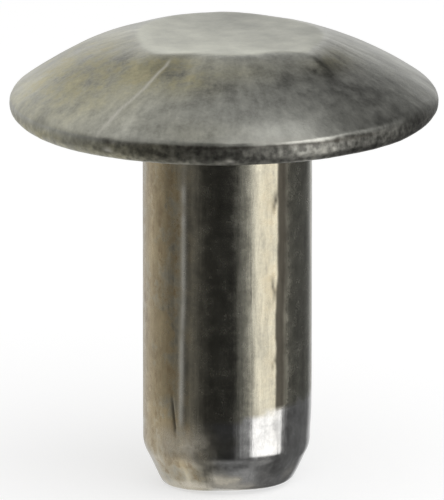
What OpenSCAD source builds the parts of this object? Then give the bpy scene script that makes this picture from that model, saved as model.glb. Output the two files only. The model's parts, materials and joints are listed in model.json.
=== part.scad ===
// Brazier head rivet: one solid piece, cold-headed from round steel wire.
// It stands on the flat end of its point, head up. Z runs up the shank's axis
// from that end, and every size is in millimetres.

/* [Shank] */
// Diameter of the shank
shank_d = 6.35; // [4.8:0.05:8]
// Length under the head, from the bearing face to the tail end
shank_l = 14.15; // [8:0.05:40]
// Radius of the fillet between the shank and the bearing face
neck_fillet = 0.2; // [0.05:0.05:0.5]

/* [Head] */
// Diameter of the head over its rim
head_d = 16.1; // [13:0.1:20]
// Height of the head, from the bearing face to the crown flat
head_h = 3.15; // [2.4:0.05:4]
// Diameter of the crown flat, out to where it would meet the dome sharply
crown_d = 7.1; // [4:0.1:9]
// Height of the rim, from the bearing face to where it would meet the dome sharply
rim_h = 0.86; // [0.75:0.01:1.3]
// Radius of the blend from the crown flat into the dome
crown_blend = 2; // [0.2:0.1:3]
// Radius of the rim's upper edge, next to the dome
rim_top_r = 0.3; // [0.05:0.01:0.5]
// Radius of the rim's lower edge, next to the bearing face
rim_base_r = 0.5; // [0.2:0.05:0.6]
// How far off the shank's axis the header struck the head
head_offset = 0.13; // [0:0.01:0.3]

/* [Point] */
// Height of the tapered point, from the tail end to where it would meet the shank sharply
point_h = 1.5; // [0.8:0.05:2.5]
// Angle of the taper, from the shank's side
point_angle = 28; // [15:1:45]
// Radius of the shoulder that rounds the shank into the taper
shoulder_r = 1.2; // [0.2:0.1:2]
// Radius of the edge between the taper and the flat end
end_edge_r = 0.3; // [0.05:0.05:0.5]

/* [Hidden] */
$fn = 96;

shank_r = shank_d / 2;
head_r = head_d / 2;
crown_r = crown_d / 2;
end_r = shank_r - point_h * tan(point_angle);

// The dome is a sphere on the head's axis, through the outer edge of the crown
// flat and the top of the rim. dome_z is its centre's height over the bearing face.
dome_z = (crown_r ^ 2 + head_h ^ 2 - head_r ^ 2 - rim_h ^ 2) / (2 * (head_h - rim_h));
dome_r = norm([crown_r, head_h - dome_z]);

// A rounding arc is this much larger than a tangent one, so that it crosses the
// faces that it blends instead of only touching them.
bite = 0.0002;

RIGHT = [1, 0];
UP = [0, 1];

// Direction from one point of an outline to another, as a unit vector
function toward(from, to) = (to - from) / norm(to - from);

// The part of a convex corner that an arc of radius r about c takes off.
// from and to are the directions in which the arc starts and ends.
module corner(c, r, from, to) {
    reach = 4 * r;
    difference() {
        polygon([c, c + reach * from, c + reach * (from + to), c + reach * to]);
        translate(c) circle(r = r + bite);
    }
}

// Half section of the head about its own axis, with the bearing face at 0
module head_outline() {
    dome_c = [0, dome_z];

    blend_z = head_h - crown_blend;
    blend_x = sqrt((dome_r - crown_blend) ^ 2 - (blend_z - dome_z) ^ 2);
    blend_c = [blend_x, blend_z];

    top_x = head_r - rim_top_r;
    top_z = dome_z + sqrt((dome_r - rim_top_r) ^ 2 - top_x ^ 2);
    top_c = [top_x, top_z];

    base_c = [head_r - rim_base_r, rim_base_r];

    difference() {
        intersection() {
            square([head_r, head_h]);
            translate(dome_c) circle(r = dome_r);
        }
        corner(blend_c, crown_blend, UP, toward(dome_c, blend_c));
        corner(top_c, rim_top_r, toward(dome_c, top_c), RIGHT);
        corner(base_c, rim_base_r, RIGHT, -UP);
    }
}

// Half section of the shank and its point, with the fillet at the neck
module shank_outline() {
    taper_out = [cos(point_angle), -sin(point_angle)];
    shoulder_c = [shank_r - shoulder_r, point_h + shoulder_r * tan(point_angle / 2)];
    edge_c = [end_r - end_edge_r * tan(45 - point_angle / 2), end_edge_r];

    difference() {
        polygon([[0, 0], [end_r, 0], [shank_r, point_h], [shank_r, shank_l], [0, shank_l]]);
        corner(shoulder_c, shoulder_r, RIGHT, taper_out);
        corner(edge_c, end_edge_r, taper_out, -UP);
    }
    translate([0, shank_l - neck_fillet]) difference() {
        square([shank_r + neck_fillet, neck_fillet]);
        translate([shank_r + neck_fillet, 0]) circle(r = neck_fillet + bite);
    }
}

module shank() {
    rotate_extrude() shank_outline();
}

module head() {
    translate([-head_offset, 0, shank_l]) rotate_extrude() head_outline();
}

module rivet() {
    color([0.56, 0.54, 0.49]) {
        shank();
        head();
    }
}

rivet();
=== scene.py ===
"""The looks of the brazier head rivet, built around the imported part.

Lengths are in millimetres, unless a comment says metres. Meshes are made in
metres, like the frame. A turn is an angle about the rivet's axis in degrees: 0
faces the camera (-Y) and 90 its right (+X). Soft marks and patches are given by
their middle and by the half width at which they have faded to about a third.
"""
import json
import math

import bpy
import numpy as np
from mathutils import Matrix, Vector, noise


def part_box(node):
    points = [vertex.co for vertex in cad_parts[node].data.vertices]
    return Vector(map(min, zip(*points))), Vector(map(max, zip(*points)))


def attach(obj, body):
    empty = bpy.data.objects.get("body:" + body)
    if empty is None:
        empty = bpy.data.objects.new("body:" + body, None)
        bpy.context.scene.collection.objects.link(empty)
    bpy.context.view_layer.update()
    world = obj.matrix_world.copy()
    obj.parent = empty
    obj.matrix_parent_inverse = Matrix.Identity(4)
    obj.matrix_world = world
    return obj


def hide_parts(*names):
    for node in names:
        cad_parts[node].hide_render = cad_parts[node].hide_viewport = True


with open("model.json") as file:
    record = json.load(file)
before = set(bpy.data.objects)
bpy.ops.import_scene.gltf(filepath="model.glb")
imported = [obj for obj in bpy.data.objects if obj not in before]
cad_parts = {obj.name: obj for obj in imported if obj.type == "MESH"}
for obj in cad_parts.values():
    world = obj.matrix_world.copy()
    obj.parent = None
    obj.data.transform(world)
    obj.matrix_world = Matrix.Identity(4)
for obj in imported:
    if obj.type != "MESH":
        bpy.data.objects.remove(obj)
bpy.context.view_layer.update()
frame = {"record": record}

MM = 0.001

# ---------------------------------------------------------------- sizes, from the frame

MOUNTS = {mount["name"]: mount for mount in frame["record"]["mounts"]}
LOW, HIGH = (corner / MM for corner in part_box("rivet"))

SHANK_R = MOUNTS["shank"]["dims"]["r_mm"]
BEARING_Z = MOUNTS["bearing_face"]["pos_m"][2] / MM
HEAD_R = (HIGH.x - LOW.x) / 2
HEAD_X = (HIGH.x + LOW.x) / 2
HEAD_H = HIGH.z - BEARING_Z

# sizes that the frame doesn't give, as they are in the CAD
CROWN_R = 3.55
RIM_H = 0.86
CROWN_BLEND = 2.0
RIM_TOP_R = 0.3
RIM_BASE_R = 0.5
NECK_FILLET = 0.2
POINT_H = 1.5
POINT_ANGLE = 28.0
SHOULDER_R = 1.2
END_EDGE_R = 0.3

# the dome is a sphere through the crown's edge and the top of the rim
DOME_Z = (CROWN_R ** 2 + HEAD_H ** 2 - HEAD_R ** 2 - RIM_H ** 2) / (2 * (HEAD_H - RIM_H))
DOME_R = math.hypot(CROWN_R, HEAD_H - DOME_Z)

# ---------------------------------------------------------------- small tools


def smooth(value, low, high):
    """0 up to low, 1 from high on, with a soft step between them."""
    t = np.clip((value - low) / (high - low), 0, 1)
    return t * t * (3 - 2 * t)


def bell(value, middle, half):
    """A soft bump: 1 at the middle, about a third at half from it."""
    return np.exp(-(((value - middle) / half) ** 2))


def turned(turn, middle):
    """Angle from middle to turn, from -180 to 180 degrees."""
    return (turn - middle + 180) % 360 - 180


def facing(turn, middle, half):
    """A soft bump round the axis, at a turn."""
    return bell(turned(turn, middle), 0, half)


def cloud(points, octaves, seed):
    """Soft noise of about -1 to 1, with features about one unit apart."""
    shift = Vector((17.3 * seed, 5.1 * seed, -9.7 * seed))
    return np.array([noise.fractal(Vector(p) + shift, 0.9, 2.0, octaves) for p in points])


def add_object(name, data):
    made = bpy.data.objects.new(name, data)
    bpy.context.scene.collection.objects.link(made)
    return made


# ---------------------------------------------------------------- profile of the lathe mesh

SEGMENTS = 576
# the segments halve inside each of these radii
HALVING_RADII = (1.6, 0.8, 0.4)
# radius of the small face that closes the mesh at the axis
AXIS_R = 0.1

# rings of the mesh along each stretch of the profile, from the crown to the tail
CROWN_RINGS = 19
CROWN_BLEND_RINGS = 9
DOME_RINGS = 32
RIM_TOP_RINGS = 7
RIM_RINGS = 3
RIM_BASE_RINGS = 9
BEARING_RINGS = 9
NECK_RINGS = 4
SHANK_RINGS = 55
SHOULDER_RINGS = 6
TAPER_RINGS = 9
END_EDGE_RINGS = 5
END_RINGS = 7


def arc(centre, radius, start, end, count):
    """Points of an arc from one angle to another, without the first."""
    turns = np.radians(np.linspace(start, end, count + 1))[1:]
    return [(centre[0] + radius * math.cos(t), centre[1] + radius * math.sin(t)) for t in turns]


def line(start, end, count):
    """Points of a straight stretch, without the first."""
    return [tuple(np.add(start, np.subtract(end, start) * i / count)) for i in range(1, count + 1)]


def head_profile(rim_top_r, rim_base_r):
    """Radius and height over the bearing face, from the crown's middle to the neck."""
    blend_z = HEAD_H - CROWN_BLEND
    blend_x = math.sqrt((DOME_R - CROWN_BLEND) ** 2 - (blend_z - DOME_Z) ** 2)
    blend_end = math.degrees(math.atan2(blend_z - DOME_Z, blend_x))

    top_x = HEAD_R - rim_top_r
    top_z = DOME_Z + math.sqrt((DOME_R - rim_top_r) ** 2 - top_x ** 2)
    dome_end = math.degrees(math.atan2(top_z - DOME_Z, top_x))
    base_x = HEAD_R - rim_base_r
    neck_x = SHANK_R + NECK_FILLET

    points = [(AXIS_R, HEAD_H)]
    points += line(points[-1], (blend_x, HEAD_H), CROWN_RINGS)
    points += arc((blend_x, blend_z), CROWN_BLEND, 90, blend_end, CROWN_BLEND_RINGS)
    points += arc((0, DOME_Z), DOME_R, blend_end, dome_end, DOME_RINGS)
    points += arc((top_x, top_z), rim_top_r, dome_end, 0, RIM_TOP_RINGS)
    points += line(points[-1], (HEAD_R, rim_base_r), RIM_RINGS)
    points += arc((base_x, rim_base_r), rim_base_r, 0, -90, RIM_BASE_RINGS)
    points += line(points[-1], (neck_x, 0), BEARING_RINGS)
    points += arc((neck_x, -NECK_FILLET), NECK_FILLET, 90, 180, NECK_RINGS)
    return points


def shank_profile():
    """Radius and height over the tail end, from the neck to the end's middle."""
    end_r = SHANK_R - POINT_H * math.tan(math.radians(POINT_ANGLE))
    shoulder_z = POINT_H + SHOULDER_R * math.tan(math.radians(POINT_ANGLE / 2))
    edge_x = end_r - END_EDGE_R * math.tan(math.radians(45 - POINT_ANGLE / 2))

    points = line((SHANK_R, BEARING_Z - NECK_FILLET), (SHANK_R, shoulder_z), SHANK_RINGS)
    points += arc((SHANK_R - SHOULDER_R, shoulder_z), SHOULDER_R, 0, -POINT_ANGLE, SHOULDER_RINGS)
    edge = arc((edge_x, END_EDGE_R), END_EDGE_R, -POINT_ANGLE, -90, END_EDGE_RINGS)
    points += line(points[-1], edge[0], TAPER_RINGS)
    points += edge[1:]
    points += line(points[-1], (AXIS_R, 0), END_RINGS)
    return points


def rivet_profile(rim_top_r, rim_base_r):
    """Radius and height over the tail end of every ring, from the crown to the tail."""
    head = [(r, z + BEARING_Z) for r, z in head_profile(rim_top_r, rim_base_r)]
    return np.array(head + shank_profile())


def ring_normals(rings):
    """Outward and upward share of the surface's direction at each ring."""
    step = np.gradient(rings, axis=0)
    step /= np.linalg.norm(step, axis=1)[:, None]
    return -step[:, 1], step[:, 0]


def ring_lengths(rings):
    """Distance of each ring from the first, along the profile."""
    return np.concatenate([[0], np.cumsum(np.linalg.norm(np.diff(rings, axis=0), axis=1))])


def segments_at(radius):
    """Fewer segments close to the axis, always by whole halvings."""
    return SEGMENTS >> sum(radius <= limit for limit in HALVING_RADII)


def stitch(inner, outer):
    """Faces between two rings, of the same count or one with twice the other's."""
    if len(outer) < len(inner):
        return [face[::-1] for face in stitch(outer, inner)]
    inner_next = np.roll(inner, -1)
    if len(outer) == len(inner):
        return np.stack([inner, outer, np.roll(outer, -1), inner_next], axis=-1).tolist()
    first, middle, last = outer[::2], outer[1::2], np.roll(outer[::2], -1)
    fans = [(inner, first, middle), (inner, middle, inner_next), (inner_next, middle, last)]
    return [face for fan in fans for face in np.stack(fan, axis=-1).tolist()]


# ---------------------------------------------------------------- the surface, point by point

# radii of the rim's edges, where they are crisp and where they are worn
CRISP_TOP_R, WORN_TOP_R = 0.18, 0.6
CRISP_BASE_R, WORN_BASE_R = 0.42, 0.56
# the upper edge is crisp round one turn, and the lower edge along the front, up to
# where the sine of the turn reaches the last of these
CRISP_TOP_TURN, CRISP_TOP_HALF = 12, 33
BASE_WEAR_FROM = 0.78

# the head's offset and its lean fade in over these radii, so that the neck stays on the shank
OFFSET_FADE = (SHANK_R + 0.3, 5)
LEAN_FADE = (SHANK_R + 0.3, 4.5)


class Surface:
    """Every vertex of the rivet, on the form before its marks."""

    def __init__(self):
        rings = rivet_profile(RIM_TOP_R, RIM_BASE_R)
        counts = [segments_at(r) for r, _ in rings]
        starts = np.concatenate([[0], np.cumsum(counts)])
        each = np.repeat(np.arange(len(rings)), counts)
        self.loops = [np.arange(a, b) for a, b in zip(starts[:-1], starts[1:])]
        self.out, self.up = (part[each] for part in ring_normals(rings))
        self.along = ring_lengths(rings)[each]

        self.turn = np.concatenate([np.linspace(-180, 180, n, endpoint=False) for n in counts])
        self.sin, self.cos = np.sin(np.radians(self.turn)), np.cos(np.radians(self.turn))
        self.ring = np.stack([self.sin, -self.cos, np.zeros_like(self.sin)], axis=-1)
        self.r, self.z = self.worn_profile(each)

        self.over_bearing = self.z - BEARING_Z
        self.on_head = self.over_bearing > -1e-6
        self.on_top = self.on_head & (self.over_bearing > RIM_H - 0.1)
        self.at_rim = self.on_head & (self.r > HEAD_R - 0.7)
        self.solid = self.place(self.r, self.z)

    def worn_profile(self, each):
        """Radius and height of every vertex, with the rim's edges as crisp as they are there."""
        crisp = rivet_profile(CRISP_TOP_R, CRISP_BASE_R)[each]
        worn = rivet_profile(WORN_TOP_R, WORN_BASE_R)[each]
        top_wear = 1 - facing(self.turn, CRISP_TOP_TURN, CRISP_TOP_HALF)
        base_wear = np.where(self.cos > 0, smooth(np.abs(self.sin), BASE_WEAR_FROM, 1), 1)
        wear = np.where(crisp[:, 1] > BEARING_Z + RIM_H / 2, top_wear, base_wear)
        return (crisp + (worn - crisp) * wear[:, None]).T

    def place(self, r, z):
        """Points at a radius and a height, about the head's own axis on the head."""
        x = r * self.sin + HEAD_X * np.where(self.on_head, smooth(self.r, *OFFSET_FADE), 0)
        return np.stack([x, -r * self.cos, z], axis=-1)

    def faces(self):
        found = [self.loops[0].tolist(), self.loops[-1][::-1].tolist()]
        for inner, outer in zip(self.loops[:-1], self.loops[1:]):
            found += stitch(inner, outer)
        return found


def across(s, middle, radius):
    """Distance round the surface from a turn, at a radius."""
    return np.radians(turned(s.turn, middle)) * radius


def patches(s, spots, height):
    """Sum of soft patches of ragged outline, each at a turn and a height or radius."""
    place = s.solid * 1.3
    turn = s.turn + 3 * cloud(place, 3, 14)
    height = height + 0.12 * cloud(place, 3, 15)
    return sum(
        strength * facing(turn, at, half_turn) * bell(height, middle, half)
        for at, half_turn, middle, half, strength in spots
    )


# ---------------------------------------------------------------- the marks

# turn of the crown flat's edge, and how far out it reaches there
CROWN_OUTLINE = (
    (-180, 3.60),
    (-133, 3.54),
    (-89, 3.42),
    (-74, 3.48),
    (-60, 3.72),
    (-42, 4.12),
    (-37, 3.98),
    (-30, 3.66),
    (-22, 3.38),
    (-9, 3.32),
    (4, 3.42),
    (27, 3.40),
    (33, 3.42),
    (38, 3.60),
    (45, 4.12),
    (51, 4.00),
    (62, 3.74),
    (78, 3.64),
    (110, 3.56),
    (152, 3.28),
    (180, 3.60),
)
# points of the outline, half a degree apart, and how many of them it is rounded over
OUTLINE_POINTS = 721
OUTLINE_ROUNDING = 15

# turn and radius of the long scratch down the dome, and the radii over which it starts and fades
SCRATCH_TURNS = (-31.5, -29.6, -30.1, -30.8, -32.2, -34.0, -34.8, -36.2)
SCRATCH_RADII = (3.8, 4.4, 5.1, 5.8, 6.4, 6.9, 7.4, 8.0)
SCRATCH_START = (3.7, 4.3)
SCRATCH_END = (7.4, 8.0)
SCRATCH_WIDTH = 0.055
SCRATCH_DEPTH = 0.006

# height and turn of the wire's seam, a ridge with a ditch along its right side,
# and the heights over which it starts and fades
SEAM_HEIGHTS = (3, 4.6, 6.1, 7.7, 12.4)
SEAM_TURNS = (-33.0, -32.2, -32.0, -30.6, -30.3)
SEAM_START = (2.4, 3.2)
SEAM_END = (11.9, 12.3)
SEAM_WIDTH = 0.125
SEAM_RISE = 0.032
DITCH_DEPTH = 0.004

# height and turn of the gouge beside the seam's lower end
GOUGE_HEIGHTS = (2.3, 4.1)
GOUGE_TURNS = (-37.2, -41.2)
GOUGE_WIDTH = 0.06
GOUGE_DEPTH = 0.03

# turn, height over the bearing face, half length and half height of nicks in the rim; the bright ones also
# get painted glints
BRIGHT_NICKS = (
    (1.6, 0.22, 0.15, 0.07),
    (27.6, 0.38, 0.12, 0.10),
    (30.6, 0.42, 0.08, 0.07),
    (24.2, 0.30, 0.07, 0.05),
    (-32.5, 0.37, 0.20, 0.07),
)
DARK_NICKS = ((-32.5, 0.67, 0.17, 0.11),)
NICK_DEPTH = 0.035

# the dark crease is this far under the rim's top, and runs round this turn
CREASE_DROP = 0.13
CREASE_TURN, CREASE_HALF = 18, 40
CREASE_WIDTH = 0.06
CREASE_DEPTH = 0.012

# the bright band's top edge, which rises to the right, and how far round it goes from a turn
CLEAN_TOP = 3.05
CLEAN_RISE = 0.5
CLEAN_TURN = 75
CLEAN_ENDS = (72, 92)


def crown_reach(s):
    """How far out the crown flat reaches at each turn."""
    turns, reaches = zip(*CROWN_OUTLINE)
    around = np.linspace(-180, 180, OUTLINE_POINTS)
    padded = np.pad(np.interp(around, turns, reaches), OUTLINE_ROUNDING // 2, "edge")
    weights = np.hanning(OUTLINE_ROUNDING)
    rounded = np.convolve(padded, weights / weights.sum(), "valid")
    return np.interp(s.turn, around, rounded) + 0.04 * cloud(s.ring * 4, 3, 1)


def scratch_line(s):
    """The scratch down the dome, wider but weaker towards the rim."""
    middle = np.interp(s.r, SCRATCH_RADII, SCRATCH_TURNS)
    width = SCRATCH_WIDTH * (0.6 + 0.1 * s.r)
    length = smooth(s.r, *SCRATCH_START) * (1 - 0.5 * smooth(s.r, *SCRATCH_END)) * s.on_top
    return bell(across(s, middle, s.r), 0, width) * length


def seam_line(s):
    """The seam's ridge, and the ditch along its right side."""
    middle = np.interp(s.z, SEAM_HEIGHTS, SEAM_TURNS)
    aside = across(s, middle, SHANK_R)
    length = smooth(s.z, *SEAM_START) * (1 - 0.75 * smooth(s.z, *SEAM_END)) * ~s.on_head
    uneven = cloud(np.repeat(0.8 * s.z[:, None], 3, axis=1), 2, 21)
    length = length * (0.75 + 0.4 * uneven)
    ridge = bell(aside, 0, SEAM_WIDTH) * length
    ditch = bell(aside, 1.9 * SEAM_WIDTH, 0.8 * SEAM_WIDTH) * length
    return ridge, ditch


def gouge_line(s):
    middle = np.interp(s.z, GOUGE_HEIGHTS, GOUGE_TURNS)
    low, high = GOUGE_HEIGHTS
    length = smooth(s.z, low, low + 0.4) * (1 - smooth(s.z, high - 0.7, high)) * ~s.on_head
    return bell(across(s, middle, SHANK_R), 0, GOUGE_WIDTH) * length


def nicks(s, spots):
    """Sum of nicks in the rim."""
    return sum(
        bell(across(s, turn, HEAD_R), 0, half_l) * bell(s.over_bearing, height, half_h) * s.at_rim
        for turn, height, half_l, half_h in spots
    )


def rim_crease(s):
    """A dark crease under the rim's crisp upper edge."""
    height = RIM_H - CREASE_DROP + 0.02 * cloud(s.ring * 5, 2, 13)
    return bell(s.over_bearing, height, CREASE_WIDTH) * facing(s.turn, CREASE_TURN, CREASE_HALF) * s.at_rim


def clean_zone(s):
    """1 on the bright band above the taper and on down to the end."""
    top = CLEAN_TOP + CLEAN_RISE * s.sin + 0.10 * cloud(s.ring * 3, 3, 2)
    band = (1 - smooth(s.z, top - 0.04, top + 0.06)) * ~s.on_head
    side = turned(s.turn, CLEAN_TURN) + 14 * cloud(s.solid * 0.8, 3, 10)
    return band * (1 - 0.85 * smooth(np.abs(side), *CLEAN_ENDS))


# ---------------------------------------------------------------- the form

# turn, half turn, radius, half radius, height: two shallow flats in the dome, and a rise
DOME_FORM = (
    (105, 48, 5.2, 1.7, -0.045),
    (-80, 30, 6.6, 1.3, -0.02),
    (-122, 22, 5.4, 1.0, 0.04),
)
# rise of the head for each millimetre to its right
HEAD_LEAN = 0.004

# the sheared end isn't quite square: turn, half turn and height by which it is off the floor
END_LIFTS = (
    (5, 52, 0.165),
    (85, 38, 0.12),
)
# the lift has faded out at this height
END_LIFT_H = 1.7
# the point isn't quite round: turn and half turn of its two fuller sides
POINT_RIGHT = (88, 45)
POINT_LEFT = (-65, 35)
POINT_FULLNESS = 0.08
POINT_WAIST = 0.06

FILM_THICKNESS = 0.004


def crown_push(s):
    """Moves the dome round the crown out or in, to where the crown's outline is."""
    share = smooth(s.r, 1.2, CROWN_R - 0.1) * (1 - smooth(s.r, CROWN_R + 0.3, 5.7))
    return (crown_reach(s) - CROWN_R) * share * s.on_top


def point_push(s):
    """Makes the point fuller at its sides, with a slight waist above it on the right."""
    right, left = facing(s.turn, *POINT_RIGHT), facing(s.turn, *POINT_LEFT)
    edge = (1 - smooth(s.z, 0.2, 1.2)) * smooth(s.r, 0.8, 2)
    waist = bell(s.z, 1.8, 0.7) * right * ~s.on_head
    return POINT_FULLNESS * edge * (right + left) - POINT_WAIST * waist


def head_rise(s):
    """The head's lean to its left, and the flats and the rise of its dome."""
    lean = HEAD_LEAN * s.r * s.sin * smooth(s.r, *LEAN_FADE) * s.on_head
    return lean + s.on_top * sum(
        height * facing(s.turn, turn, half_turn) * bell(s.r, radius, half)
        for turn, half_turn, radius, half, height in DOME_FORM
    )


def end_rise(s):
    lift = sum(height * facing(s.turn, turn, half) for turn, half, height in END_LIFTS)
    return lift * (1 - smooth(s.z, 0, END_LIFT_H))


def dome_relief(s):
    """Waves, drag lines and mottle of the dome, and the scratch."""
    wave = 0.014 * cloud(s.solid * 0.35, 2, 3)
    drag = 0.005 * cloud(np.stack([s.sin * 13, s.cos * 13, s.r * 0.45], axis=-1), 4, 4)
    drag = drag * (1 - 0.7 * smooth(-s.sin, 0.3, 0.85))
    mottle = 0.003 * cloud(s.solid * 1.2, 3, 5)
    on_dome = smooth(s.r, CROWN_R - 0.3, CROWN_R + 0.6)
    return ((wave + drag) * on_dome + mottle - SCRATCH_DEPTH * scratch_line(s)) * s.on_top


def rim_relief(s):
    """Dents of the rim, its crease and its nicks."""
    dents = 0.012 * cloud(s.solid * 1.1, 3, 6) + 0.005 * cloud(s.solid * 4, 3, 11)
    dents = dents * smooth(s.r, HEAD_R - 0.6, HEAD_R - 0.1)
    marks = CREASE_DEPTH * rim_crease(s) + NICK_DEPTH * nicks(s, BRIGHT_NICKS + DARK_NICKS)
    return (dents - marks) * s.on_head


def shank_relief(s):
    """Draw lines and lumps of the shank, the seam, the gouge, and the film's thickness."""
    draw = 0.0014 * cloud(np.stack([s.sin * 34, s.cos * 34, s.z * 0.22], axis=-1), 3, 7)
    lumps = 0.0016 * cloud(s.solid * 0.9, 3, 8)
    ridge, ditch = seam_line(s)
    marks = SEAM_RISE * ridge - DITCH_DEPTH * ditch - GOUGE_DEPTH * gouge_line(s)
    film = FILM_THICKNESS * (1 - clean_zone(s))
    return (draw + lumps + marks + film) * ~s.on_head


def shape(s):
    """The final place of every vertex."""
    r = s.r + crown_push(s) + point_push(s)
    z = s.z + head_rise(s) + end_rise(s)
    depth = dome_relief(s) + rim_relief(s) + shank_relief(s)
    return s.place(r + depth * s.out, z + depth * s.up)


# ---------------------------------------------------------------- the finish, point by point

# turn, half turn, radius, half radius, tone: lighter and darker patches of the dome
DOME_TONES = (
    (-27, 8, 4.6, 0.6, -0.12),
    (-52, 9, 4.4, 0.6, -0.16),
    (-66, 12, 4.6, 0.8, -0.12),
    (-84, 16, 4.2, 0.5, -0.14),
    (-40, 3, 4.7, 0.7, 0.10),
    (47, 8, 4.9, 0.8, -0.26),
    (25, 4, 5.4, 0.9, -0.24),
    (14, 3, 4.7, 0.9, -0.20),
    (4, 2, 4.4, 0.6, -0.16),
    (-8, 2, 4.3, 0.6, -0.12),
    (-15, 2.2, 4.9, 1.1, 0.20),
    (-38, 9, 7.3, 0.6, 0.08),
    (14, 14, 7.6, 0.40, 0.50),
    (-58, 20, 5.6, 1.0, -0.10),
    (-82, 22, 7.4, 0.6, 0.14),
    (-28, 1.3, 7.5, 0.5, 0.26),
    (0, 16, 5.8, 0.8, -0.22),
    (0, 13, 4.3, 0.5, 0.14),
    (41, 4, 5.4, 0.7, -0.15),
    (44, 7, 4.6, 0.4, -0.20),
    (47, 11, 7.95, 0.2, -0.40),
    (45, 8, 7.5, 0.4, 0.16),
    (33, 5, 4.5, 0.4, -0.10),
)
# turn, half turn, tone: lighter and darker stretches of the rim
RIM_TONES = (
    (38, 9, -0.60),
    (62, 14, -0.36),
    (23, 8, 0.48),
    (0, 18, -0.28),
    (-46, 14, 0.25),
)
# the crown is duller by this much at its right rear
CROWN_DULLNESS = 0.30
# turn, half turn, height, half height, tone: lighter and darker patches of the shank and taper
SHANK_TONES = (
    (-58, 20, 2.7, 0.9, 0.25),
    (-29, 3.5, 1.9, 0.5, 0.30),
    (-34, 4, 0.7, 0.7, 0.55),
    (-19, 8, 1.1, 0.6, -0.50),
    (6, 15, 1.33, 0.17, -0.45),
    (37, 7, 1.0, 0.35, -0.45),
    (34, 12, 0.42, 0.25, 0.35),
    (22, 10, 0.8, 0.35, 0.25),
    (-33, 5, 2.2, 0.6, 0.45),
    (-22, 6, 1.9, 0.5, -0.25),
    (-23, 6, 2.75, 0.4, 0.35),
    (-46, 7, 3.0, 0.45, 0.25),
    (-5, 9, 1.25, 0.25, -0.22),
    (36, 2.6, 2.6, 0.9, -0.28),
    (-50, 14, 2.5, 0.9, 0.12),
    (-44, 5, 12.3, 1.0, -0.20),
    (-41, 4, 8.0, 5.0, -0.22),
    (-48, 5, 7.0, 3.5, -0.10),
    (-64, 4, 8.0, 4.0, 0.10),
    (-58, 7, 5.5, 2.2, -0.10),
)

# turn, half turn, radius, half radius, strength: olive stain on the dome
DOME_STAINS = (
    (-30, 20, 4.7, 1.0, 0.75),
    (-72, 42, 6.0, 2.4, 0.92),
    (58, 16, 4.7, 0.7, 0.60),
    (8, 26, 4.6, 0.8, 0.40),
    (-12, 10, 5.4, 0.8, 0.30),
    (-8, 12, 7.6, 0.5, 0.20),
)
# turn, half turn, strength: olive stain on the rim
RIM_STAIN = (-60, 34, 1.6)
# turn, half turn, strength: tan stain on the shank
SHANK_STAINS = (
    (-60, 38, 1.0),
    (-128, 40, 0.60),
    (30, 16, 0.45),
    (170, 30, 0.30),
)
# turn, half turn, height, half height, strength: tan stain on the taper
TAPER_STAINS = (
    (-2, 11, 0.6, 0.35, 0.45),
    (-26, 16, 0.9, 1.2, 0.6),
)
# turn, half turn, height, half height, strength: pale crust on the foot of the shank and the taper
CRUST_PATCHES = (
    (-8, 6, 0.60, 0.28, 1.00),
    (1, 7, 0.50, 0.25, 1.00),
    (8, 3, 0.60, 0.14, 0.80),
    (-28, 10, 1.9, 0.55, 0.45),
    (-44, 12, 2.0, 0.55, 0.36),
    (-19, 8, 2.25, 0.45, 0.30),
    (-13, 6, 1.7, 0.4, 0.15),
    (-28, 24, 0.22, 0.16, 0.80),
    (12, 14, 0.18, 0.14, 0.60),
    (57, 6, 0.6, 0.3, 0.30),
)

# height and turn of the grimy film's left edge
FILM_HEIGHTS = (7.9, 8.5)
FILM_TURNS = (34.9, 36.5)
# turn, half turn, height, half height, strength: spots where the film reaches further left
FILM_SPOTS = (
    (33.4, 1.6, 11.5, 0.30, 1.0),
    (32.6, 1.4, 8.1, 0.40, 0.8),
    (32.8, 1.0, 5.3, 0.25, 0.6),
)
# degrees from its left edge over which the film starts, and over which it thins out again
FILM_START = (-1.2, 1.2)
FILM_END = (5, 12)

# turn, half turn: the stretch of the rim's upper edge that gets a painted highlight
RIM_EDGE_HIGHLIGHT = (13, 13)


def crown_masks(s):
    """The crown flat, and a painted highlight along its front and left edge."""
    edge = s.r + 0.04 * cloud(s.solid * 2.5, 3, 9)
    crown = (1 - smooth(edge, CROWN_R - 0.14, CROWN_R + 0.10)) * s.on_top
    # a painted highlight just inside the crown's edge, at its front and left
    lip = bell(edge, CROWN_R - 0.3, 0.30) * crown * smooth(s.cos - 0.4 * s.sin, -0.2, 0.9)
    return crown, lip


def rim_mask(s):
    """The rim, up over its edge at the right front and fading out at both sides."""
    fade = 0.4 * smooth(-s.sin, 0.25, 0.7) + 0.3 * smooth(s.sin, 0.55, 0.8)
    over_edge = 0.07 * smooth(turned(s.turn, 60), -34, -22) * smooth(s.cos, 0, 0.3)
    under = 1 - smooth(s.over_bearing, RIM_H - 0.09 - fade + over_edge, RIM_H + 0.01 + over_edge)
    band = smooth(s.r, HEAD_R - 0.35, HEAD_R - 0.1) * under * s.on_head
    return band * (1 - 0.6 * smooth(-s.sin, 0.25, 0.75))


def bare_marks(s):
    """Brighter steel: scraped along the scratch, with painted highlights along the seam's ridge and the
    rim's upper edge.
    """
    # a painted highlight along the rim's upper edge, at the front
    edge = bell(s.over_bearing, RIM_H + 0.03, 0.12) * facing(s.turn, *RIM_EDGE_HIGHLIGHT) * s.on_top
    return np.clip(0.75 * scratch_line(s) + 1.2 * seam_line(s)[0] + 0.5 * edge, 0, 1)


def dark_marks(s):
    """Darker in the seam's ditch, the gouge, the dark nick and the rim's crease."""
    settled = 0.4 * seam_line(s)[1] + gouge_line(s) + nicks(s, DARK_NICKS) + 0.8 * rim_crease(s)
    return np.clip(settled, 0, 1)


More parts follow.
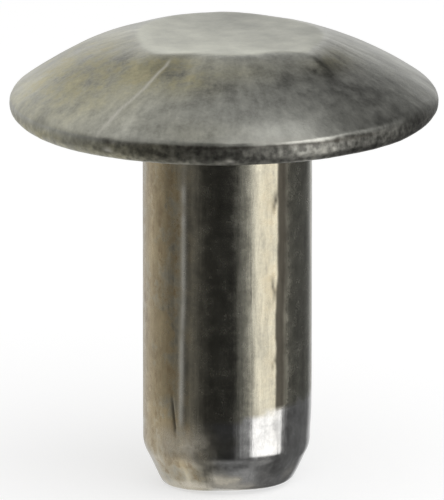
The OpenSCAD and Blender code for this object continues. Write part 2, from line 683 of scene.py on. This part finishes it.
def film_mask(s, clean):
    """The grimy film down the right of the shank, above the clean band."""
    side = turned(s.turn, np.interp(s.z, FILM_HEIGHTS, FILM_TURNS))
    side = side + 0.8 * cloud(np.stack([s.z * 1.5, s.sin, s.cos], axis=-1), 4, 12)
    film = smooth(side, *FILM_START) * (1 - smooth(side, *FILM_END)) + patches(s, FILM_SPOTS, s.z)
    return np.clip(film, 0, 1) * (1 - clean) * ~s.on_head


def stain_mask(s, crown, rim, taper_stain):
    """Olive stain on the head, and tan stain on the shank, weaker on the taper."""
    turn, half, strength = RIM_STAIN
    on_rim = strength * facing(s.turn, turn, half) * rim
    on_dome = patches(s, DOME_STAINS, s.r) * (1 - crown) * s.on_top * (1 - rim)
    on_shank = sum(strength * facing(s.turn, turn, half) for turn, half, strength in SHANK_STAINS)
    on_shank = (on_shank + taper_stain) * (0.65 + 0.35 * smooth(s.z, 1.2, 2.2))
    return np.clip(np.where(s.on_head, on_dome + on_rim, on_shank), 0, 1)


def tones(s, crown, rim):
    """How much lighter or darker than plain steel each point is, around 0."""
    on_dome = patches(s, DOME_TONES, s.r) * s.on_top * (1 - crown)
    on_rim = sum(tone * facing(s.turn, turn, half) for turn, half, tone in RIM_TONES) * rim
    on_crown = -CROWN_DULLNESS * smooth(s.r * (0.7 * s.sin - s.cos), -2.8, 3.2) * crown
    return np.where(s.on_head, on_dome + on_rim + on_crown, patches(s, SHANK_TONES, s.z))


def finish(s):
    """What the steel's material reads: masks from 0 to 1, and a tone around 0."""
    crown, lip = crown_masks(s)
    rim = rim_mask(s)
    taper_stain = np.clip(patches(s, TAPER_STAINS, s.z), 0, 1)
    clean = clean_zone(s) * (1 - taper_stain)
    return {
        "crown": crown,
        "lip": lip,
        "rim": rim,
        "shank": (~s.on_head).astype(float),
        "clean": clean,
        # scraped steel on the scratch, and painted highlights on the seam's ridge and the rim's edge
        "bare": bare_marks(s),
        # painted glints on the bright nicks
        "chips": np.clip(nicks(s, BRIGHT_NICKS), 0, 1),
        "crust": np.clip(patches(s, CRUST_PATCHES, s.z) * ~s.on_head, 0, 1),
        "dark": dark_marks(s),
        "film": film_mask(s, clean),
        "stain": stain_mask(s, crown, rim, taper_stain),
        "tone": tones(s, crown, rim),
    }


def build_rivet():
    surface = Surface()
    mesh = bpy.data.meshes.new("rivet_body")
    mesh.from_pydata((shape(surface) * MM).tolist(), [], surface.faces())
    mesh.polygons.foreach_set("use_smooth", [True] * len(mesh.polygons))
    for name, values in finish(surface).items():
        mesh.attributes.new(name, "FLOAT", "POINT").data.foreach_set("value", values)
    flow = np.stack([surface.sin, -surface.cos, surface.along], axis=-1)
    mesh.attributes.new("flow", "FLOAT_VECTOR", "POINT").data.foreach_set("vector", flow.ravel())
    return add_object("rivet_body", mesh)


# ---------------------------------------------------------------- materials

HEAD_STEEL = (0.43, 0.43, 0.39, 1)
CROWN_STEEL = (0.505, 0.505, 0.43, 1)
SHANK_STEEL = (0.41, 0.405, 0.345, 1)
CLEAN_STEEL = (0.60, 0.60, 0.595, 1)
# scraped steel, also the colour of the painted highlights and glints
BARE_STEEL_AND_HIGHLIGHT = (0.62, 0.60, 0.53, 1)
RIM_STEEL = (0.24, 0.235, 0.21, 1)
TAN_STAIN = (0.385, 0.315, 0.195, 1)
OLIVE_STAIN = (0.365, 0.335, 0.19, 1)
BROWN_STAIN = (0.21, 0.155, 0.085, 1)
GRIME = (0.05, 0.042, 0.033, 1)
PALE_CRUST = (1, 0.93, 0.78, 1)

BASE_ROUGHNESS = 0.35
BUMP_STRENGTH = 0.3
# in metres
BUMP_DISTANCE = 0.00001


class Tree:
    """Short ways to add nodes. A value may be a number or another node's output."""

    def __init__(self, owner):
        owner.use_nodes = True
        self.nodes = owner.node_tree.nodes
        self.links = owner.node_tree.links
        self.nodes.clear()

    def add(self, kind, inputs=(), **settings):
        node = self.nodes.new("ShaderNode" + kind)
        for name, value in settings.items():
            setattr(node, name, value)
        for name, value in dict(inputs).items():
            self.put(value, node.inputs[name])
        return node

    def put(self, value, socket):
        if isinstance(value, bpy.types.NodeSocket):
            self.links.new(value, socket)
        else:
            socket.default_value = value

    def attribute(self, name):
        return self.add("Attribute", attribute_name=name).outputs["Fac"]

    def math(self, operation, first, second, clamp=False):
        node = self.add("Math", {0: first, 1: second}, operation=operation, use_clamp=clamp)
        return node.outputs[0]

    def times(self, *values):
        result = values[0]
        for value in values[1:]:
            result = self.math("MULTIPLY", result, value)
        return result

    def plus(self, *values, clamp=False):
        result = values[0]
        for value in values[1:]:
            result = self.math("ADD", result, value, clamp)
        return result

    def remap(self, value, low, high, to_low=0.0, to_high=1.0):
        """The value, so that low becomes to_low and high to_high, and held between them."""
        ends = {"Value": value, "From Min": low, "From Max": high, "To Min": to_low, "To Max": to_high}
        return self.add("MapRange", ends).outputs[0]

    def swing(self, value, low, high, amount):
        """A change around 0, from -amount at low to amount at high."""
        return self.remap(value, low, high, -amount, amount)

    def where(self, mask, inside, outside):
        """One number inside the mask and another outside it."""
        return self.remap(mask, 0, 1, outside, inside)

    def vector_math(self, operation, first, second):
        return self.add("VectorMath", {0: first, 1: second}, operation=operation).outputs[0]

    def stretch(self, vector, scale):
        return self.vector_math("MULTIPLY", vector, scale)

    def shifted(self, vector, noise_scale, amount):
        """The vector, moved about by a soft noise of its own."""
        place = self.add("TexNoise", {"Vector": vector, "Scale": noise_scale}).outputs["Color"]
        centred = self.vector_math("SUBTRACT", place, (0.5, 0.5, 0.5))
        return self.vector_math("ADD", vector, self.stretch(centred, amount))

    def noise(self, vector, scale, detail, roughness):
        ends = {"Vector": vector, "Scale": scale, "Detail": detail, "Roughness": roughness}
        return self.add("TexNoise", ends).outputs["Fac"]

    def blend(self, factor, first, second, how="MIX"):
        """The second colour over the first, as far as the factor says."""
        node = self.add("Mix", data_type="RGBA", blend_type=how)
        self.put(factor, node.inputs["Factor"])
        colours = [socket for socket in node.inputs if socket.type == "RGBA"]
        self.put(first, colours[0])
        self.put(second, colours[1])
        return next(socket for socket in node.outputs if socket.type == "RGBA")

    def grey(self, value):
        return self.add("CombineColor", {"Red": value, "Green": value, "Blue": value}).outputs[0]

    def seen_plainly(self):
        """1 for what the camera sees, directly or in metal or glass."""
        path = self.add("LightPath")
        seen = self.math("MAXIMUM", path.outputs["Is Camera Ray"], path.outputs["Is Glossy Ray"])
        return self.math("MAXIMUM", seen, path.outputs["Is Transmission Ray"])


class SteelTree(Tree):
    """The nodes of the rivet's steel. Its masks are the mesh's attributes."""

    def __init__(self, owner):
        super().__init__(owner)
        self.crown, self.lip, self.rim = map(self.attribute, ("crown", "lip", "rim"))
        self.shank, self.clean, self.stain = map(self.attribute, ("shank", "clean", "stain"))
        self.bare, self.chips, self.dark = map(self.attribute, ("bare", "chips", "dark"))
        self.film, self.tone = map(self.attribute, ("film", "tone"))
        self.dome = self.plus(1.0, self.times(self.shank, -1.0), self.times(self.crown, -1.0))
        self.stained_dome = self.times(self.stain, self.dome)

        self.add_noises()
        uneven = self.remap(self.blotches, 0.3, 0.6, 0.75, 1.15)
        self.crust = self.times(self.attribute("crust"), uneven)
        self.stained = self.stain_amount()
        self.brown = self.brown_amount()

    def add_noises(self):
        """Patches from broad to fine, and lines down the dome and along the shank."""
        place = self.stretch(self.add("TexCoord").outputs["Object"], (1 / MM, 1 / MM, 1 / MM))
        self.broad = self.noise(place, 0.6, 4, 0.6)
        self.spots = self.noise(place, 1.9, 5, 0.65)
        self.blotches = self.noise(place, 4.2, 2, 0.5)
        self.grains = self.noise(place, 8, 4, 0.65)

        flow = self.add("Attribute", attribute_name="flow").outputs["Vector"]
        flow = self.shifted(flow, 1.3, (0.05, 0.05, 0))
        dragged = self.noise(self.stretch(flow, (11, 11, 0.35)), 1, 6, 0.68)
        drawn = self.noise(self.stretch(flow, (14, 14, 0.45)), 1, 5, 0.65)
        self.fine_lines = self.noise(self.stretch(flow, (60, 60, 0.5)), 1, 3, 0.6)
        on_dome, on_shank = self.times(dragged, self.dome), self.times(drawn, self.shank)
        self.lines = self.plus(on_dome, on_shank, self.times(self.crown, 0.5))

    def stain_amount(self):
        """The stain's mask, broken up by patches where it is strong."""
        broad_patches = self.swing(self.broad, 0.36, 0.64, 0.25)
        patchy = self.plus(broad_patches, self.swing(self.spots, 0.36, 0.64, 0.3))
        patchy = self.times(patchy, self.remap(self.stain, 0.3, 0.8))
        amount = self.plus(self.stain, patchy, clamp=True)
        return self.times(amount, self.where(self.clean, 0.35, 1), self.where(self.shank, 1, 0.75))

    def brown_amount(self):
        """Brown flecks where the stain is strongest, most of them on the shank."""
        flecks = self.times(self.remap(self.spots, 0.40, 0.62), self.remap(self.lines, 0.36, 0.60))
        return self.times(flecks, self.remap(self.stained, 0.45, 0.9), self.where(self.shank, 1, 0.35))

    def stained_steel(self):
        """The steel of each part of the rivet, with its stains."""
        steel = self.blend(self.crown, HEAD_STEEL, CROWN_STEEL)
        steel = self.blend(self.rim, steel, RIM_STEEL)
        steel = self.blend(self.shank, steel, SHANK_STEEL)
        steel = self.blend(self.clean, steel, CLEAN_STEEL)
        steel = self.blend(self.stained, steel, self.blend(self.shank, OLIVE_STAIN, TAN_STAIN))
        return self.blend(self.brown, steel, BROWN_STAIN)

    def shade(self):
        """What the colour is multiplied by: tones, streaks, mottle, the rim's speckle and a painted
        highlight along the crown's front and left edge.
        """
        streaks = self.times(self.swing(self.lines, 0.3, 0.7, 0.18), self.where(self.clean, 0.4, 1))
        streaks = self.times(streaks, self.where(self.stained_dome, 0.35, 1))

        mottle = self.plus(self.swing(self.broad, 0.3, 0.7, 0.14), self.swing(self.spots, 0.3, 0.7, 0.20))
        mottle = self.plus(mottle, self.swing(self.grains, 0.3, 0.7, 0.08))
        mottle = self.times(mottle, self.where(self.crown, 0.35, 1), self.where(self.stained_dome, 1.6, 1))
        clouding = self.times(self.swing(self.broad, 0.35, 0.65, 0.10), self.crown)
        mottle = self.plus(mottle, clouding)

        # the last term is the painted highlight at the crown's front and left edge
        shade = self.plus(1.0, self.tone, streaks, mottle, self.times(self.lip, 0.12))
        speckle = self.times(self.swing(self.blotches, 0.35, 0.65, 0.42), self.rim)
        return self.times(shade, self.plus(1.0, speckle))

    def colour(self):
        steel = self.blend(1.0, self.stained_steel(), self.grey(self.shade()), "MULTIPLY")
        # scraped steel on the scratch, and painted highlights on the seam's ridge and the rim's edge
        steel = self.blend(self.bare, steel, BARE_STEEL_AND_HIGHLIGHT)
        # painted glints on the bright nicks
        steel = self.blend(self.chips, steel, BARE_STEEL_AND_HIGHLIGHT)
        steel = self.blend(self.crust, steel, PALE_CRUST)
        steel = self.blend(self.times(self.film, 0.85), steel, GRIME)
        # the seam's ditch, the gouge, the dark nick and the crease take the film's near-black
        return self.blend(self.times(self.dark, 0.75), steel, GRIME)

    def metallic(self):
        """Less metallic where rust, crust and scrapes scatter the light, and at the painted highlights and
        glints.
        """
        return self.plus(
            1.0,
            self.times(self.brown, -0.35),
            self.times(self.chips, -0.7),
            self.times(self.crust, -0.6),
            self.times(self.bare, -0.3),
        )

    def roughness(self):
        return self.plus(
            BASE_ROUGHNESS,
            self.times(self.crown, 0.03),
            self.times(self.rim, 0.15),
            self.times(self.shank, -0.13),
            self.times(self.clean, -0.07),
            self.times(self.remap(self.spots, 0.3, 0.7, -0.06, 0.07), self.where(self.crown, 0.3, 1)),
            self.swing(self.lines, 0.3, 0.7, -0.03),
            self.times(self.stained, 0.05),
            self.times(self.film, 0.2),
        )

    def bump(self):
        """Fine pits, and draw lines along the shank and down the dome."""
        pits = self.times(self.remap(self.grains, 0.35, 0.75), self.where(self.shank, 0.1, 1))
        height = self.plus(pits, self.times(self.fine_lines, 0.5))
        ends = {"Height": height, "Strength": BUMP_STRENGTH, "Distance": BUMP_DISTANCE}
        return self.add("Bump", ends).outputs[0]


def steel_material():
    material = bpy.data.materials.new("aged_steel")
    tree = SteelTree(material)
    ends = {
        "Base Color": tree.colour(),
        "Metallic": tree.metallic(),
        "Roughness": tree.roughness(),
        "Normal": tree.bump(),
    }
    shader = tree.add("BsdfPrincipled", ends)
    tree.add("OutputMaterial", {"Surface": shader.outputs[0]})
    return material


rivet = build_rivet()
rivet.data.materials.append(steel_material())
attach(rivet, "root")
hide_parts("rivet")

# ---------------------------------------------------------------- studio

# what the metal sees round the rivet at its own height: azimuth, counted like a turn, and radiance
HORIZON = (
    (-180, 1.08),
    (-150, 1.08),
    (-122, 0.76),
    (-104, 0.62),
    (-93, 0.42),
    (-82, 0.36),
    (-60, 0.23),
    (-46, 0.19),
    (-38, 0.10),
    (-30, 0.04),
    (12, 0.03),
    (20, 0.10),
    (92, 0.12),
    (110, 0.12),
    (135, 0.14),
    (145, 0.20),
    (150, 0.44),
    (156, 0.74),
    (162, 0.74),
    (172, 1.05),
    (180, 1.08),
)
# the elevations between which it holds, and how softly it gives way below and above them
HORIZON_LOW, HORIZON_HIGH = -42, 22
SOFT_BELOW, SOFT_ABOVE = 15, 12

# what stands in front of that, each over the ones before it:
# azimuth, half width, elevation, half height, soft edge, radiance
CARDS = (
    (180, 180, 90, 56, 24, 0.43),  # ceiling
    (180, 180, 73, 7, 6, 0.34),  # ceiling gap
    (180, 180, 90, 11, 10, 0.84),  # overhead
    (-120, 50, 44, 22, 20, 0.82),  # left wall
    (-168, 30, -14, 18, 16, 0.78),  # left low wall
    (133, 30, 43, 21, 12, 0.11),  # right flag
    (-125, 65, -70, 30, 20, 0.80),  # left floor
    (30, 90, -70, 30, 20, 0.30),  # front floor
    (120, 40, -50, 30, 20, 0.13),  # right floor
    (-4, 30, 50, 32, 20, 0.08),  # camera side
    (31, 15, 8, 38, 11, 0.30),  # window side
    (57, 22.5, 14, 40, 6, 1.95),  # window
    (95, 35, 76, 10, 10, 0.95),  # window top
)

TENT_R = 250
TENT_Z = 10
TENT_COLUMNS, TENT_ROWS = 240, 120
# elevation of the last row, up and down
TENT_END = 89.9

FLOOR_HALF = 1500
FLOOR_COLOUR = (0.55, 0.55, 0.55, 1)
FLOOR_GLOW = 0.60

WORLD_LIGHT = 0.6
WORLD_SEEN = 1.0

# place and width in metres
LAMP_PLACE = (0.1, -0.12, 0.3)
LAMP_SIZE = 0.5
LAMP_POWER = 0.6


def card_cover(azimuth, elevation, middle, half_w, height, half_h, soft):
    """1 where a card stands, with soft edges. Half a turn each way is all the way round."""
    side = 1 - smooth(np.abs(turned(azimuth, middle)), half_w - soft / 2, half_w + soft / 2)
    if half_w >= 180:
        side = np.ones_like(azimuth)
    return side * (1 - smooth(np.abs(elevation - height), half_h - soft / 2, half_h + soft / 2))


def tent_radiance(azimuth, elevation):
    """What the steel sees each way: white, with the horizon and the cards in front of it."""
    around = np.interp(azimuth, *zip(*HORIZON))
    over_low = smooth(elevation, HORIZON_LOW - SOFT_BELOW, HORIZON_LOW)
    under_high = 1 - smooth(elevation, HORIZON_HIGH, HORIZON_HIGH + SOFT_ABOVE)
    light = 1 + (around - 1) * over_low * under_high
    for *card, radiance in CARDS:
        light = light + (radiance - light) * card_cover(azimuth, elevation, *card)
    return light


def tent_mesh():
    """A ball of rings, with the radiance of each point."""
    azimuth = np.linspace(-180, 180, TENT_COLUMNS, endpoint=False)
    turn = np.radians(azimuth)
    places, light = [], []
    for elevation in np.linspace(-TENT_END, TENT_END, TENT_ROWS):
        up = math.radians(elevation)
        flat, high = TENT_R * math.cos(up), np.full(TENT_COLUMNS, TENT_R * math.sin(up) + TENT_Z)
        places.append(np.stack([flat * np.sin(turn), -flat * np.cos(turn), high], axis=-1))
        light.append(tent_radiance(azimuth, np.full(TENT_COLUMNS, elevation)))
    rows = np.arange(TENT_ROWS * TENT_COLUMNS).reshape(TENT_ROWS, TENT_COLUMNS)
    faces = [face for lower, upper in zip(rows[:-1], rows[1:]) for face in stitch(lower, upper)]
    mesh = bpy.data.meshes.new("tent")
    mesh.from_pydata((np.concatenate(places) * MM).tolist(), [], faces)
    mesh.attributes.new("radiance", "FLOAT", "POINT").data.foreach_set("value", np.concatenate(light))
    return mesh


def tent_material():
    material = bpy.data.materials.new("tent_light")
    material.cycles.emission_sampling = "NONE"
    tree = Tree(material)
    glow = tree.add("Emission", {"Strength": tree.attribute("radiance")})
    tree.add("OutputMaterial", {"Surface": glow.outputs[0]})
    return material


def build_tent():
    """A round tent, seen by nothing but reflections in the metal."""
    mesh = tent_mesh()
    mesh.materials.append(tent_material())
    tent = add_object("tent", mesh)
    tent.visible_camera = False
    tent.visible_diffuse = False
    tent.visible_shadow = False
    tent.visible_transmission = False
    tent.visible_volume_scatter = False


def floor_material():
    """Pale paper that takes the rivet's shadow, and is white where there is none."""
    material = bpy.data.materials.new("pale_floor")
    tree = Tree(material)
    paper = tree.add("BsdfDiffuse", {"Color": FLOOR_COLOUR})
    glow = tree.add("Emission", {"Strength": tree.times(tree.seen_plainly(), FLOOR_GLOW)})
    both = tree.add("AddShader", {0: paper.outputs[0], 1: glow.outputs[0]})
    tree.add("OutputMaterial", {"Surface": both.outputs[0]})
    return material


def build_floor():
    """The floor. The metal sees the tent in its place."""
    half = FLOOR_HALF * MM
    corners = [(-half, -half, 0), (half, -half, 0), (half, half, 0), (-half, half, 0)]
    mesh = bpy.data.meshes.new("floor")
    mesh.from_pydata(corners, [], [(0, 1, 2, 3)])
    mesh.materials.append(floor_material())
    floor = add_object("floor", mesh)
    floor.visible_glossy = False


def build_world():
    """White where the camera sees it, and dimmer as a light."""
    world = bpy.data.worlds.new("studio")
    bpy.context.scene.world = world
    tree = Tree(world)
    strength = tree.where(tree.seen_plainly(), WORLD_SEEN, WORLD_LIGHT)
    back = tree.add("Background", {"Strength": strength})
    tree.add("OutputWorld", {"Surface": back.outputs[0]})


def build_lamp():
    """A large soft lamp high on the camera's side, to its right, which itself isn't seen."""
    light = bpy.data.lights.new("softbox", "AREA")
    light.shape = "DISK"
    light.size = LAMP_SIZE
    light.energy = LAMP_POWER
    lamp = add_object("softbox", light)
    lamp.location = LAMP_PLACE
    lamp.rotation_euler = (-lamp.location).to_track_quat("-Z", "Y").to_euler()
    lamp.visible_camera = False
    lamp.visible_glossy = False


build_tent()
build_floor()
build_world()
build_lamp()

# ---------------------------------------------------------------- camera

# the photo's width and height, and its scale at the rivet
PIXELS = (444, 500)
PIXELS_PER_MM = 26.6
# column of the shank's axis, and row of the bearing face where it crosses that axis
AXIS_PX = 226.85
BEARING_PX = 115.2

CAMERA_ELEVATION = 14.45
CAMERA_DISTANCE = 600
SENSOR = 36
# nearest and furthest that it sees, in metres
CAMERA_CLIP = (0.01, 10)


def build_camera():
    """The photo's view: its height over the floor, its scale and its framing."""
    data = bpy.data.cameras.new("camera")
    data.sensor_width = SENSOR
    data.lens = SENSOR * CAMERA_DISTANCE * PIXELS_PER_MM / PIXELS[1]
    data.clip_start, data.clip_end = CAMERA_CLIP
    up = math.radians(CAMERA_ELEVATION)
    side = ((PIXELS[0] - 1) / 2 - AXIS_PX) / PIXELS_PER_MM
    drop = ((PIXELS[1] - 1) / 2 - BEARING_PX) / PIXELS_PER_MM / math.cos(up)
    aim = Vector((side, 0, BEARING_Z - drop))
    back = Vector((0, -math.cos(up), math.sin(up)))
    camera = add_object("camera", data)
    camera.location = (aim + back * CAMERA_DISTANCE) * MM
    camera.rotation_euler = (-back).to_track_quat("-Z", "Y").to_euler()
    bpy.context.scene.camera = camera


build_camera()

settings = bpy.context.scene.view_settings
settings.view_transform = "Standard"
